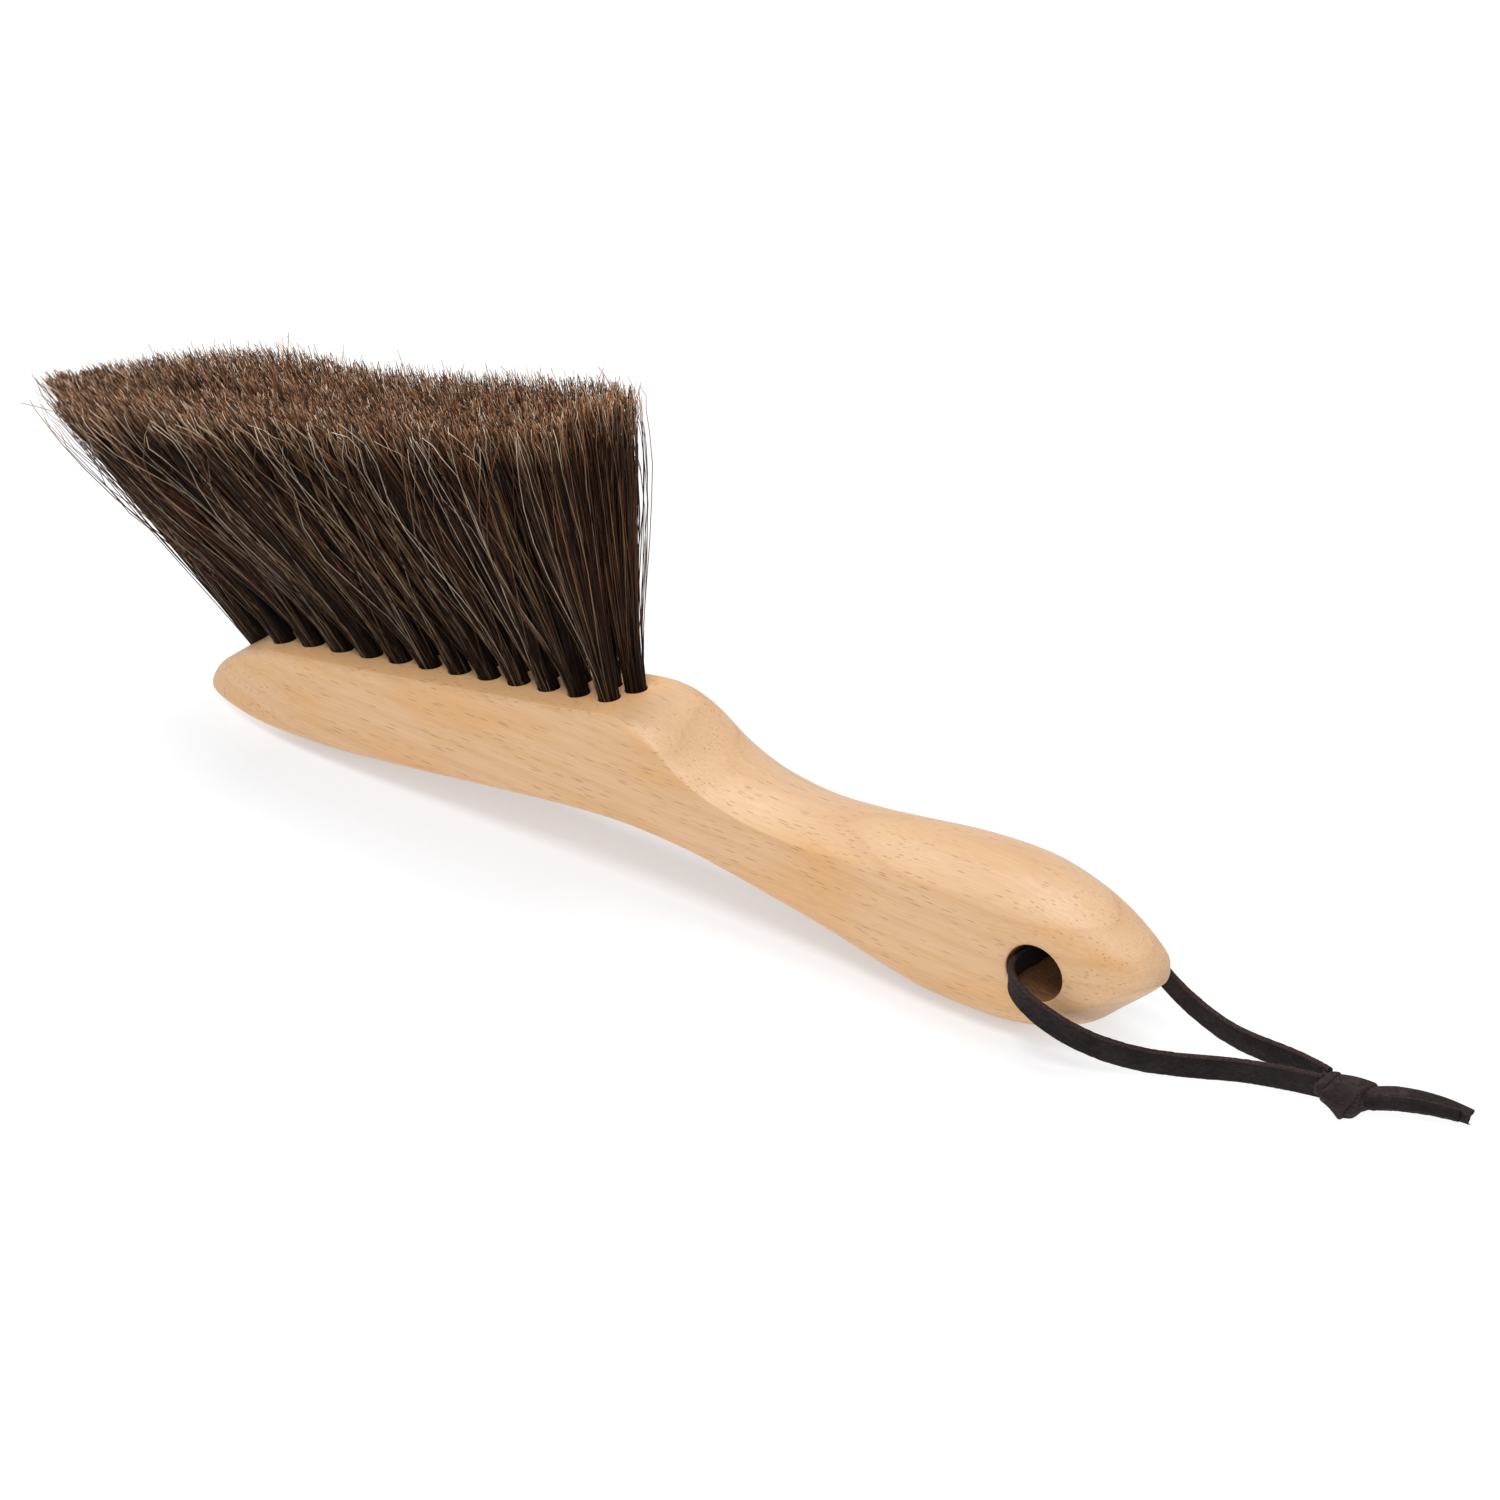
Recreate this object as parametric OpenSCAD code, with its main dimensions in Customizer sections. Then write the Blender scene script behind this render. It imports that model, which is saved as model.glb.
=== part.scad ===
// Bee brush: a one-piece beech stock with two staggered rows of horsehair tufts,
// each doubled over a flat wire anchor in a blind bore, and a knotted leather thong.
// Millimetres, +Z up. The brush lies on its back with the bristles up, and +X runs
// from the nose to the end of the handle. The origin is on the floor, in the middle
// of the outer box of the brush without its thong.

/* [Bristles] */
// Distance between neighbouring tufts of one row
tuft_pitch = 7.6; // [7:0.1:7.8]
// Distance between the two rows of tufts
row_gap = 5.3; // [5:0.1:6]
// Diameter of the drilled tuft bores
bore_d = 4.5; // [4:0.1:4.6]
// Depth of the tuft bores along their own axis
bore_depth = 9.5; // [8:0.5:10]
// Lean of the bore nearest the nose, away from upright
nose_lean = 36; // [30:1:38]
// Lean of the bore nearest the handle
heel_lean = 12; // [6:1:14]
// Lean of the foremost edge of the fanned-out hair
nose_fan = 55.5; // [48:0.1:56]
// Lean of the hair's edge nearest the handle
heel_fan = 10.9; // [8:0.1:12]
// How far the last back tuft stands nearer the nose than its pitch
last_shift = 1.4; // [0:0.1:1.6]
// Height of the trimmed tips above the floor, over the origin
trim_height = 94.4; // [86:0.1:96]
// Slope of the trimmed tips, lower at the nose
trim_slope = 15.8; // [8:0.1:18]
// Half of the width that the tips fan out to
fan_half = 14; // [11:0.5:15]

/* [Hanging hole] */
// Diameter of the hanging hole through the handle
hole_d = 12; // [8:0.5:14]
// Distance of the hole's axis from the origin along X
hole_x = 120; // [112:1:122]
// Height of the hole's axis above the floor
hole_z = 16.4; // [14:0.1:18]

/* [Thong] */
// Width of the leather strip
strip_w = 4.8; // [4:0.1:5]
// Thickness of the leather strip
strip_t = 1.3; // [1:0.1:1.6]

/* [Hidden] */
front_tufts = 12;
back_tufts = front_tufts + 2;
last_front_x = 10.4;
lean_power = 3;
fan_power = 1.12;
tuft_clearance = 0.15;
tuft_sides = 16;
cell_gap = 0.15;
anchor_t = 0.4;
anchor_h = 1.8;
anchor_bite = 0.35;
anchor_up = 1.1;
slot_clearance = 0.06;
section_points = 6;
steps_per_station = 3;
cut = 40;

function two_digits(i) = str(i < 10 ? "0" : "", i);

// Sections of the stock across X, from the nose to the handle's end. Each one gives
// x, lowest z, highest z, half width, the corner radii across and up at the top and at
// the bottom, and how far the top and the bottom corner are flattened to a chamfer.
STATIONS = [
    [ -94.6,  0.5,  1.5,  0.5,    0.4, 0.3,  0.4, 0.3,   0, 0],
    [ -93.4,  0.3,  4.0,  2.0,    1.3, 1.2,  1.6, 1.6,   0, 0],
    [ -90.4,  0.0,  8.1,  4.0,    1.9, 1.9,  2.9, 2.9,   0, 0],
    [ -85.2,  0.0, 12.6,  6.4,    2.0, 2.0,  4.4, 4.0,   0, 0],
    [ -77.6,  0.0, 17.6,  8.5,    1.8, 1.6,  5.6, 4.8,   0, 0],
    [ -67.0,  1.4, 20.8, 10.1,    1.5, 1.4,  4.8, 4.0,   0, 0],
    [ -52.0,  3.4, 23.5, 10.7,    1.5, 1.4,  3.4, 2.8,   0, 0],
    [ -34.0,  5.9, 26.7, 10.7,    1.5, 1.4,  3.2, 2.6,   0, 0],
    [ -15.0,  8.7, 30.1, 10.7,    1.5, 1.4,  3.0, 2.4,   0, 0],
    [   3.0, 11.2, 33.3, 10.7,    1.5, 1.4,  3.0, 2.4,   0, 0],
    [  17.0, 12.5, 35.9, 10.7,    1.9, 1.5,  3.0, 2.4,   0.1, 0],
    [  26.0, 12.5, 35.0, 10.7,    3.8, 1.9,  3.2, 2.6,   0.3, 0],
    [  35.0, 11.9, 30.7, 10.6,    6.5, 2.5,  3.6, 2.8,   0.45, 0],
    [  44.0, 10.5, 28.4, 10.4,    8.7, 3.2,  4.0, 3.0,   0.5, 0],
    [  56.0,  8.2, 27.6, 10.4,   10.2, 3.8,  4.8, 4.0,   0.45, 0],
    [  68.0,  5.7, 28.5, 10.7,   10.6, 4.4,  6.4, 5.4,   0.35, 0],
    [  80.0,  2.8, 30.3, 11.4,   11.2, 5.4,  8.4, 7.0,   0.3, 0],
    [  92.0,  0.5, 32.1, 11.9,   11.7, 6.2,  9.5, 8.0,   0.2, 0],
    [ 103.0,  0.0, 33.0, 12.0,   11.8, 6.9, 10.0, 8.5,   0.1, 0],
    [ 112.0,  0.2, 32.9, 11.6,   11.4, 7.4,  9.5, 8.5,   0, 0.05],
    [ 121.0,  1.9, 31.8, 10.5,   10.3, 7.8,  8.0, 7.4,   0, 0.25],
    [ 129.0,  5.9, 29.6,  9.1,    8.9, 7.6,  5.8, 4.8,   0, 0.6],
    [ 136.0, 11.7, 26.2,  7.1,    6.9, 5.9,  4.4, 3.4,   0, 0.7],
    [ 140.6, 15.5, 23.0,  4.8,    4.6, 3.0,  3.0, 2.2,   0, 0.6],
    [ 142.5, 17.3, 20.6,  2.2,    2.1, 1.3,  1.4, 1.0,   0, 0.4]
];

// Middle line of the thong from the middle of the hole to the knot: front leg, back leg.
FRONT_LEG = [
    [115.4, 0, 16.4], [115.4, -4, 16.4], [115.2, -8, 16.3], [115.5, -11, 15.9], [117, -13.2, 14.9],
    [119.8, -14.4, 13.4], [123.6, -14.4, 11.4], [127.8, -13.2, 9], [132.3, -11.2, 6.7],
    [137.2, -8.4, 4.7], [142.2, -5.3, 3.4], [147.2, -2.2, 2.8], [152.2, 0.8, 2.6],
    [157.4, 3.6, 2.6], [162.6, 5.6, 2.7], [168, 6.9, 3], [172.9, 7.5, 3.4]
];
BACK_LEG = [
    [115.4, 0, 16.4], [115.4, 4, 16.4], [115.2, 8, 16.3], [115.6, 11.2, 16], [117.4, 13.8, 15.2],
    [120.6, 15.6, 13.8], [124.6, 16.2, 12], [128.8, 15.8, 10], [133, 15, 8], [137.4, 14.2, 6.3],
    [142, 13.6, 4.9], [147, 13, 3.8], [152.2, 12.6, 3.2], [157.4, 12.6, 3], [162.6, 12.5, 3.1],
    [167.8, 11.8, 3.4], [172.9, 10.6, 3.8]
];
// Middle lines of the two tails, from the knot to their cut ends.
BACK_TAIL = [[184.3, 10.6, 3.9], [187.4, 13, 4], [191.4, 15.2, 3.8], [196.2, 17, 3.4], [201.6, 18.4, 3]];
FRONT_TAIL = [[184.3, 8.2, 3.2], [187.8, 10.8, 3.1], [192, 13, 2.9], [196.8, 15, 2.7], [201, 16.4, 2.6]];
knot_from = [172.9, 9, 0.1];
knot_size = [11.4, 9.2, 7.6];

// ---- curves -------------------------------------------------------------------

// Catmull-Rom value at u between b and c, with a before and d after them.
function spline(a, b, c, d, u) =
    0.5 * (2 * b + (c - a) * u + (2 * a - 5 * b + 4 * c - d) * u * u
        + (3 * b - a - 3 * c + d) * u * u * u);

function row_at(rows, i) = rows[max(0, min(len(rows) - 1, i))];

// All the rows of a table with steps rows for every original one.
function smooth_rows(rows, steps) = [
    for (i = [0:len(rows) - 2]) for (k = [0:steps - (i == len(rows) - 2 ? 0 : 1)])
        spline(row_at(rows, i - 1), rows[i], rows[i + 1], row_at(rows, i + 2), k / steps)
];

function unit(v) = v / norm(v);

// ---- stock --------------------------------------------------------------------

SECTIONS = smooth_rows(STATIONS, steps_per_station);

// Quarter turn of a section's corner, from its side towards its middle. It is round
// where flat is 0, and a straight chamfer where flat is 1.
function corner(half, edge_z, across, up, side, dir, flat) = [
    for (k = [0:section_points])
        let (share = (dir > 0 ? k : section_points - k) / section_points, a = 90 * share,
            u = cos(a) * (1 - flat) + (1 - share) * flat, v = sin(a) * (1 - flat) + share * flat)
        [side * (half - across + across * u), edge_z + up * v]
];

function section_ring(s) = [
    for (p = concat(
        corner(s[3], s[2] - s[5], s[4], s[5], 1, 1, s[8]),
        corner(s[3], s[2] - s[5], s[4], s[5], -1, -1, s[8]),
        corner(s[3], s[1] + s[7], s[6], -s[7], -1, 1, s[9]),
        corner(s[3], s[1] + s[7], s[6], -s[7], 1, -1, s[9])
    )) [s[0], p[0], p[1]]
];

// Closed solid through rings that all have the same number of points.
module loft(rings) {
    n = len(rings[0]);
    last = len(rings) - 1;
    faces = concat(
        [[for (k = [0:n - 1]) k]],
        [for (j = [0:last - 1]) for (k = [0:n - 1]) let (m = (k + 1) % n)
            each [[j * n + k, (j + 1) * n + k, (j + 1) * n + m], [j * n + k, (j + 1) * n + m, j * n + m]]],
        [[for (k = [n - 1:-1:0]) last * n + k]]
    );
    polyhedron(points = [for (r = rings) each r], faces = faces, convexity = 6);
}

// Height of the head's top face at x, from the straight run between two stations.
face_from = STATIONS[6];
face_to = STATIONS[9];
face_rise = (face_to[2] - face_from[2]) / (face_to[0] - face_from[0]);
function face_z(x) = face_from[2] + face_rise * (x - face_from[0]);

// Height of a tuft's root at x: in the top face, or where the nose curves down below it.
TOP_LINE = [for (s = SECTIONS) [s[0], s[2]]];
function root_z(x) = min(face_z(x), lookup(x, TOP_LINE));

module stock() {
    color("burlywood")
    difference() {
        loft([for (s = SECTIONS) section_ring(s)]);
        translate([hole_x, 0, hole_z]) rotate([90, 0, 0])
            cylinder(h = cut, d = hole_d, center = true, $fn = 64);
        for (i = [1:front_tufts]) tuft_bore(front_x(i), -row_gap / 2);
        for (i = [1:back_tufts]) tuft_bore(back_root(i), row_gap / 2);
    }
}

// ---- tufts --------------------------------------------------------------------

last_x = last_front_x + tuft_pitch / 2;
first_x = last_x - (back_tufts - 1) * tuft_pitch;
function front_x(i) = last_front_x - tuft_pitch * (front_tufts - i);
function back_x(i) = first_x + tuft_pitch * (i - 1);
function back_root(i) = back_x(i) - (i == back_tufts ? last_shift : 0);

function row_share(x) = max(0, (x - first_x) / (last_x - first_x));

// Lean of the bore at x: least at the handle, most at the nose.
function lean(x) = nose_lean - (nose_lean - heel_lean) * pow(row_share(x), lean_power);

// Lean of the line that parts the hair of two tufts, from x in the top face to the tips.
function parting_lean(x) = nose_fan - (nose_fan - heel_fan) * pow(row_share(x), fan_power);

// Where a line from the top face at x, at the given lean, meets the trimmed tips.
function tip_x(x, a) =
    let (m = tan(trim_slope), t = (trim_height + m * x - face_z(x)) / (cos(a) + m * sin(a)))
    x - t * sin(a);
function tip_z(x) = trim_height + tan(trim_slope) * x;

// Moves its children to the root of the tuft at x and y, with +Z along the tuft.
module at_root(x, y) {
    translate([x, y, root_z(x)]) rotate([0, -lean(x), 0]) children();
}

module tuft_bore(x, y) {
    mouth = 6;
    at_root(x, y) translate([0, 0, -bore_depth])
        cylinder(h = bore_depth + mouth, d = bore_d, $fn = 32);
}

// Point at distance up along the tuft's axis, at angle a around its root.
function root_point(x, y, up, a) =
    let (r = bore_d / 2 - tuft_clearance, c = cos(a) * r, l = lean(x))
    [x - up * sin(l) + c * cos(l), y + sin(a) * r, root_z(x) + up * cos(l) + c * sin(l)];

// Point of the tuft's cell in the trimmed surface: a rounded box from x0 to x1.
function cell_point(x0, x1, side, a) =
    let (hx = (x1 - x0) / 2 - cell_gap, hy = (fan_half - cell_gap) / 2,
        round = pow(pow(abs(cos(a)), 4) + pow(abs(sin(a)), 4), 0.25),
        px = (x0 + x1) / 2 + hx * cos(a) / round,
        py = side * (fan_half + cell_gap) / 2 + hy * sin(a) / round)
    [px, py, tip_z(px)];

// One tuft: straight in its bore at x, then opening out to its cell in the trimmed tips,
// which belongs to the pitch point cell_x.
module tuft(x, cell_x, side) {
    y = side * row_gap / 2;
    before = cell_x - tuft_pitch / 2;
    after = cell_x + tuft_pitch / 2;
    x0 = tip_x(before, parting_lean(before));
    x1 = tip_x(after, parting_lean(after));
    turn = 360 / tuft_sides;
    root_end = -bore_depth + slot_clearance;
    flare_start = 1;
    color([0.2, 0.14, 0.1])
    difference() {
        loft([
            [for (k = [0:tuft_sides - 1]) root_point(x, y, root_end, k * turn)],
            [for (k = [0:tuft_sides - 1]) root_point(x, y, flare_start, k * turn)],
            [for (k = [0:tuft_sides - 1]) cell_point(x0, x1, side, k * turn)]
        ]);
        anchor(x, y, slot_clearance);
    }
}

// Flat wire anchor that a tuft is doubled over. It bites into the bore's wall.
module anchor(x, y, spare) {
    size = [anchor_t, bore_d + 2 * anchor_bite, anchor_h] + 2 * spare * [1, 1, 1];
    at_root(x, y) translate([0, 0, anchor_up + anchor_h / 2 - bore_depth]) cube(size, center = true);
}

module anchors() {
    color("silver") {
        for (i = [1:front_tufts]) anchor(front_x(i), -row_gap / 2, 0);
        for (i = [1:back_tufts]) anchor(back_root(i), row_gap / 2, 0);
    }
}

// ---- thong --------------------------------------------------------------------

// Ring of the flat strip at a point of its route. The strip's width stays as upright
// as its direction allows, and its edges are slightly broken.
function strip_ring(p, along) =
    let (up = unit([0, 0, 1] - along[2] * along), out = cross(along, up),
        w = strip_w / 2, t = strip_t / 2, b = strip_t / 4)
    [for (q = [[w, t - b], [w - b, t], [b - w, t], [-w, t - b], [-w, b - t], [b - w, -t], [w - b, -t], [w, b - t]])
        p + q[0] * up + q[1] * out];

module strip(route, steps) {
    line = smooth_rows(route, steps);
    last = len(line) - 1;
    rings = [for (i = [0:last])
        strip_ring(line[i], unit(line[min(last, i + 1)] - line[max(0, i - 1)]))];
    color([0.22, 0.17, 0.15]) loft(rings);
}

module thong_front() { strip(FRONT_LEG, 2); }
module thong_back() { strip(BACK_LEG, 2); }
module thong_tail_back() { strip(BACK_TAIL, 3); }
module thong_tail_front() { strip(FRONT_TAIL, 3); }

// The overhand knot as one plain closed lump, widest in the middle.
module thong_knot() {
    shape = [[0, 0.62], [0.2, 0.92], [0.5, 1], [0.8, 0.84], [1, 0.58]];
    centre = knot_from + [0, 0, knot_size[2] / 2];
    color([0.22, 0.17, 0.15])
    loft([for (s = shape) [for (k = [0:11])
        centre + [s[0] * knot_size[0], s[1] * knot_size[1] / 2 * cos(30 * k + 15),
            s[1] * knot_size[2] / 2 * sin(30 * k + 15)]]]);
}

stock();
for (i = [1:front_tufts])
    tuft(front_x(i), front_x(i), -1);
for (i = [1:back_tufts])
    tuft(back_root(i), back_x(i), 1);
anchors();
thong_front();
thong_back();
thong_knot();
thong_tail_back();
thong_tail_front();
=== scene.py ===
"""The looks of the bee brush: beech stock, horsehair tufts and a knotted leather thong."""

import math

import bmesh
import bpy
import numpy as np
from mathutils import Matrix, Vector


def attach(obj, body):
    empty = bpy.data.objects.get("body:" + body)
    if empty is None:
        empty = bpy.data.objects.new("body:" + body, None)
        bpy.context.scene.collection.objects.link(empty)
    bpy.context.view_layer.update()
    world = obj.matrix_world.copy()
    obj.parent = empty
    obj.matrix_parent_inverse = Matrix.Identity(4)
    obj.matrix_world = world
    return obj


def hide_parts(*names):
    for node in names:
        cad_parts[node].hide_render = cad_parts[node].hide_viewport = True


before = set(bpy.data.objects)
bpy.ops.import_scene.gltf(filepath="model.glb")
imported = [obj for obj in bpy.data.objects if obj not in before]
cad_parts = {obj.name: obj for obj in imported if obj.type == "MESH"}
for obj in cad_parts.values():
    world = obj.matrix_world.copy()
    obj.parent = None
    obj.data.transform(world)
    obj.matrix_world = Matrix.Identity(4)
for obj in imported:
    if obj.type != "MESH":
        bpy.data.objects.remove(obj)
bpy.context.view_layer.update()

MM = 0.001
Y_AXIS = np.array([0, 1, 0])
rng = np.random.default_rng(20)

# ---- the brush's own measures, in millimetres and degrees, as in the CAD ---------

TUFT_PITCH = 7.6
ROW_GAP = 5.3
FRONT_TUFTS = 12
BACK_TUFTS = 14
LAST_FRONT_X = 10.4
LAST_SHIFT = 1.4  # how far the last back bore is set towards the nose
BORE_D = 4.5
BORE_DEPTH = 9.5

# lean of the bores, and of the lines that part the fanned-out tufts, at the nose and the heel
NOSE_LEAN = 36.0
HEEL_LEAN = 12.0
LEAN_POWER = 3
NOSE_FAN = 55.5
HEEL_FAN = 10.9
FAN_POWER = 1.12
FAN_HALF = 14.0

# the sloping plane of the trimmed tips: its height at X 0, and its slope along X
TRIM_HEIGHT = 94.4
TRIM_SLOPE = math.radians(15.8)

HOLE_D = 12.0
HOLE_X = 120.0
HOLE_Z = 16.4
STRIP_W = 4.8
STRIP_T = 1.3

# sections of the stock: x, lowest z, highest z, half width, the corner radii across and up at
# the top and at the bottom, and how far the top and the bottom corner are flattened to a chamfer
STATIONS = [
    [-94.6, 0.5, 1.5, 0.5, 0.4, 0.3, 0.4, 0.3, 0, 0], [-93.4, 0.3, 4, 2, 1.3, 1.2, 1.6, 1.6, 0, 0],
    [-90.4, 0, 8.1, 4, 1.9, 1.9, 2.9, 2.9, 0, 0], [-85.2, 0, 12.6, 6.4, 2, 2, 4.4, 4, 0, 0],
    [-77.6, 0, 17.6, 8.5, 1.8, 1.6, 5.6, 4.8, 0, 0], [-67, 1.4, 20.8, 10.1, 1.5, 1.4, 4.8, 4, 0, 0],
    [-52, 3.4, 23.5, 10.7, 1.5, 1.4, 3.4, 2.8, 0, 0],
    [-34, 5.9, 26.7, 10.7, 1.5, 1.4, 3.2, 2.6, 0, 0],
    [-15, 8.7, 30.1, 10.7, 1.5, 1.4, 3, 2.4, 0, 0], [3, 11.2, 33.3, 10.7, 1.5, 1.4, 3, 2.4, 0, 0],
    [17, 12.5, 35.9, 10.7, 1.9, 1.5, 3, 2.4, 0.1, 0],
    [26, 12.5, 35, 10.7, 3.8, 1.9, 3.2, 2.6, 0.3, 0],
    [35, 11.9, 30.7, 10.6, 6.5, 2.5, 3.6, 2.8, 0.45, 0],
    [44, 10.5, 28.4, 10.4, 8.7, 3.2, 4, 3, 0.5, 0],
    [56, 8.2, 27.6, 10.4, 10.2, 3.8, 4.8, 4, 0.45, 0],
    [68, 5.7, 28.5, 10.7, 10.6, 4.4, 6.4, 5.4, 0.35, 0],
    [80, 2.8, 30.3, 11.4, 11.2, 5.4, 8.4, 7, 0.3, 0],
    [92, 0.5, 32.1, 11.9, 11.7, 6.2, 9.5, 8, 0.2, 0], [103, 0, 33, 12, 11.8, 6.9, 10, 8.5, 0.1, 0],
    [112, 0.2, 32.9, 11.6, 11.4, 7.4, 9.5, 8.5, 0, 0.05],
    [121, 1.9, 31.8, 10.5, 10.3, 7.8, 8, 7.4, 0, 0.25],
    [129, 5.9, 29.6, 9.1, 8.9, 7.6, 5.8, 4.8, 0, 0.6],
    [136, 11.7, 26.2, 7.1, 6.9, 5.9, 4.4, 3.4, 0, 0.7],
    [140.6, 15.5, 23, 4.8, 4.6, 3, 3, 2.2, 0, 0.6],
    [142.5, 17.3, 20.6, 2.2, 2.1, 1.3, 1.4, 1, 0, 0.4],
]
# the head's flat top runs straight from the seventh section to the tenth
FACE_START, FACE_END = STATIONS[6], STATIONS[9]

# middle lines of the thong's legs and tails, and the middle of its knot
FRONT_LEG = [
    [115.4, 0, 16.4], [115.4, -4, 16.4], [115.2, -8, 16.3], [115.5, -11, 15.9], [117, -13.2, 14.9],
    [119.8, -14.4, 13.4], [123.6, -14.4, 11.4], [127.8, -13.2, 9], [132.3, -11.2, 6.7],
    [137.2, -8.4, 4.7], [142.2, -5.3, 3.4], [147.2, -2.2, 2.8], [152.2, 0.8, 2.6],
    [157.4, 3.6, 2.6], [162.6, 5.6, 2.7], [168, 6.9, 3], [172.9, 7.5, 3.4], [174.6, 7.8, 3.5],
]
BACK_LEG = [
    [115.4, 0, 16.4], [115.4, 4, 16.4], [115.2, 8, 16.3], [115.6, 11.2, 16], [117.4, 13.8, 15.2],
    [120.6, 15.6, 13.8], [124.6, 16.2, 12], [128.8, 15.8, 10], [133, 15, 8], [137.4, 14.2, 6.3],
    [142, 13.6, 4.9], [147, 13, 3.8], [152.2, 12.6, 3.2], [157.4, 12.6, 3], [162.6, 12.5, 3.1],
    [167.8, 11.8, 3.4], [172.9, 10.6, 3.8], [174.6, 10.1, 3.9],
]
BACK_TAIL = [
    [182.5, 9.8, 4.3], [184.6, 10.8, 4.4], [187.8, 12.9, 4.4], [191.6, 15, 3.9],
    [196.4, 16.9, 3.1], [201.6, 18.4, 2.1],
]
FRONT_TAIL = [
    [182.5, 8.4, 3.2], [184.6, 9, 2.9], [187.6, 10.9, 3.1], [191.6, 13, 3.1],
    [196.4, 14.9, 2.9], [200.4, 16.1, 2.6],
]
KNOT_CENTRE = np.array([178.4, 9.1, 4.0])

# lengths of the legs from the middle of the hole to the knot, in metres
FRONT_LENGTH = 0.0779
BACK_LENGTH = 0.0733


def spline_rows(rows, steps):
    """Catmull-Rom rows through a table, with steps rows for every original one."""
    rows = np.asarray(rows, float)
    padded = np.vstack([rows[:1], rows, rows[-1:]])
    out = []
    for i in range(len(rows) - 1):
        a, b, c, d = padded[i:i + 4]
        for u in np.arange(steps) / steps:
            out.append(0.5 * (2 * b + (c - a) * u + (2 * a - 5 * b + 4 * c - d) * u ** 2
                              + (3 * b - a - 3 * c + d) * u ** 3))
    return np.array(out + [rows[-1]])


def unit(v):
    """Vectors brought to length 1."""
    return v / np.maximum(np.linalg.norm(v, axis=-1, keepdims=True), 1e-9)


# ---- camera --------------------------------------------------------------------

# the photograph's view: how far it is turned from the front, and tilted down
VIEW_TURN = math.radians(38.5)
VIEW_TILT = math.radians(29.3)
# its directions: right, up and towards the viewer
VIEW_AXES = np.array([
    [math.cos(VIEW_TURN), math.sin(VIEW_TURN), 0],
    [-math.sin(VIEW_TURN) * math.sin(VIEW_TILT), math.cos(VIEW_TURN) * math.sin(VIEW_TILT),
     math.cos(VIEW_TILT)],
    [math.sin(VIEW_TURN) * math.cos(VIEW_TILT), -math.cos(VIEW_TURN) * math.cos(VIEW_TILT),
     math.sin(VIEW_TILT)],
])
VIEW_AIM = Vector((0.03839, 0.00605, 0.02913))
VIEW_DISTANCE = 2.0
VIEW_LENS = 247.68


def make_camera():
    """The photograph's camera: it looks from the handle's side and above."""
    back = Vector(VIEW_AXES[2])
    data = bpy.data.cameras.new("camera")
    data.lens = VIEW_LENS
    data.sensor_width = 36
    data.clip_end = 20
    camera = bpy.data.objects.new("camera", data)
    camera.location = VIEW_AIM + VIEW_DISTANCE * back
    camera.rotation_euler = (-back).to_track_quat("-Z", "Y").to_euler()
    bpy.context.scene.collection.objects.link(camera)
    bpy.context.scene.camera = camera


# ---- materials -----------------------------------------------------------------

# the growth rings' pith, its skew to X, the width of a ring and how far it sways, in millimetres
PITH_Y = 16.0
PITH_Z = -92.0
PITH_SKEW = 0.022
RING_WIDTH = 4.1
RING_SWAY = 7.0
# middle and half axes of the oval of floor in which shadows show, in metres; outside it the floor's
# painted glow washes them out
OVAL_CENTRE = (0.022, -0.014)
OVAL_HALF = (0.125, 0.085)


def put(tree, kind, inputs=None, **settings):
    """A new shader node. A value in inputs that is a socket is linked."""
    node = tree.nodes.new("ShaderNode" + kind)
    for name, value in settings.items():
        setattr(node, name, value)
    for name, value in (inputs or {}).items():
        if isinstance(value, bpy.types.NodeSocket):
            tree.links.new(value, node.inputs[name])
        else:
            node.inputs[name].default_value = value
    return node


def new_material(name, **values):
    """A material with its node tree and Principled shader. Constants go on the shader's sockets."""
    material = bpy.data.materials.new(name)
    material.use_nodes = True
    tree = material.node_tree
    shader = tree.nodes["Principled BSDF"]
    for key, value in values.items():
        shader.inputs[key.replace("_", " ")].default_value = value
    return material, tree, shader


def drive(tree, shader, **sockets):
    """Link sockets to the shader's inputs of those names."""
    for key, socket in sockets.items():
        tree.links.new(socket, shader.inputs[key.replace("_", " ")])


def maths(tree, operation, a, b=0.0):
    """One step of arithmetic on values or sockets."""
    return put(tree, "Math", {0: a, 1: b}, operation=operation).outputs[0]


def vectors(tree, operation, a, b=(0.0, 0.0, 0.0)):
    """One step of arithmetic on vectors. A length comes out as a value."""
    step = put(tree, "VectorMath", {0: a, 1: b}, operation=operation)
    return step.outputs["Value" if operation == "LENGTH" else "Vector"]


def millimetres(tree, scale):
    """The point on the piece in millimetres, times a scale along each axis."""
    place = put(tree, "TexCoord").outputs["Object"]
    return vectors(tree, "MULTIPLY", place, tuple(s / MM for s in scale))


def noise(tree, vector, detail=3.0, roughness=0.5, distortion=0.0):
    """Fractal noise over a vector, about 0.5."""
    return put(tree, "TexNoise", {"Vector": vector, "Scale": 1.0, "Detail": detail,
                                  "Roughness": roughness, "Distortion": distortion}).outputs["Fac"]


def ramp(tree, factor, stops):
    """A colour ramp through (position, grey or colour) stops."""
    node = put(tree, "ValToRGB", {"Fac": factor})
    elements = node.color_ramp.elements
    while len(elements) < len(stops):
        elements.new(0.5)
    for element, (position, value) in zip(elements, stops):
        element.position = position
        element.color = (value, value, value, 1) if isinstance(value, (int, float)) else (*value, 1)
    return node.outputs["Color"]


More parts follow.
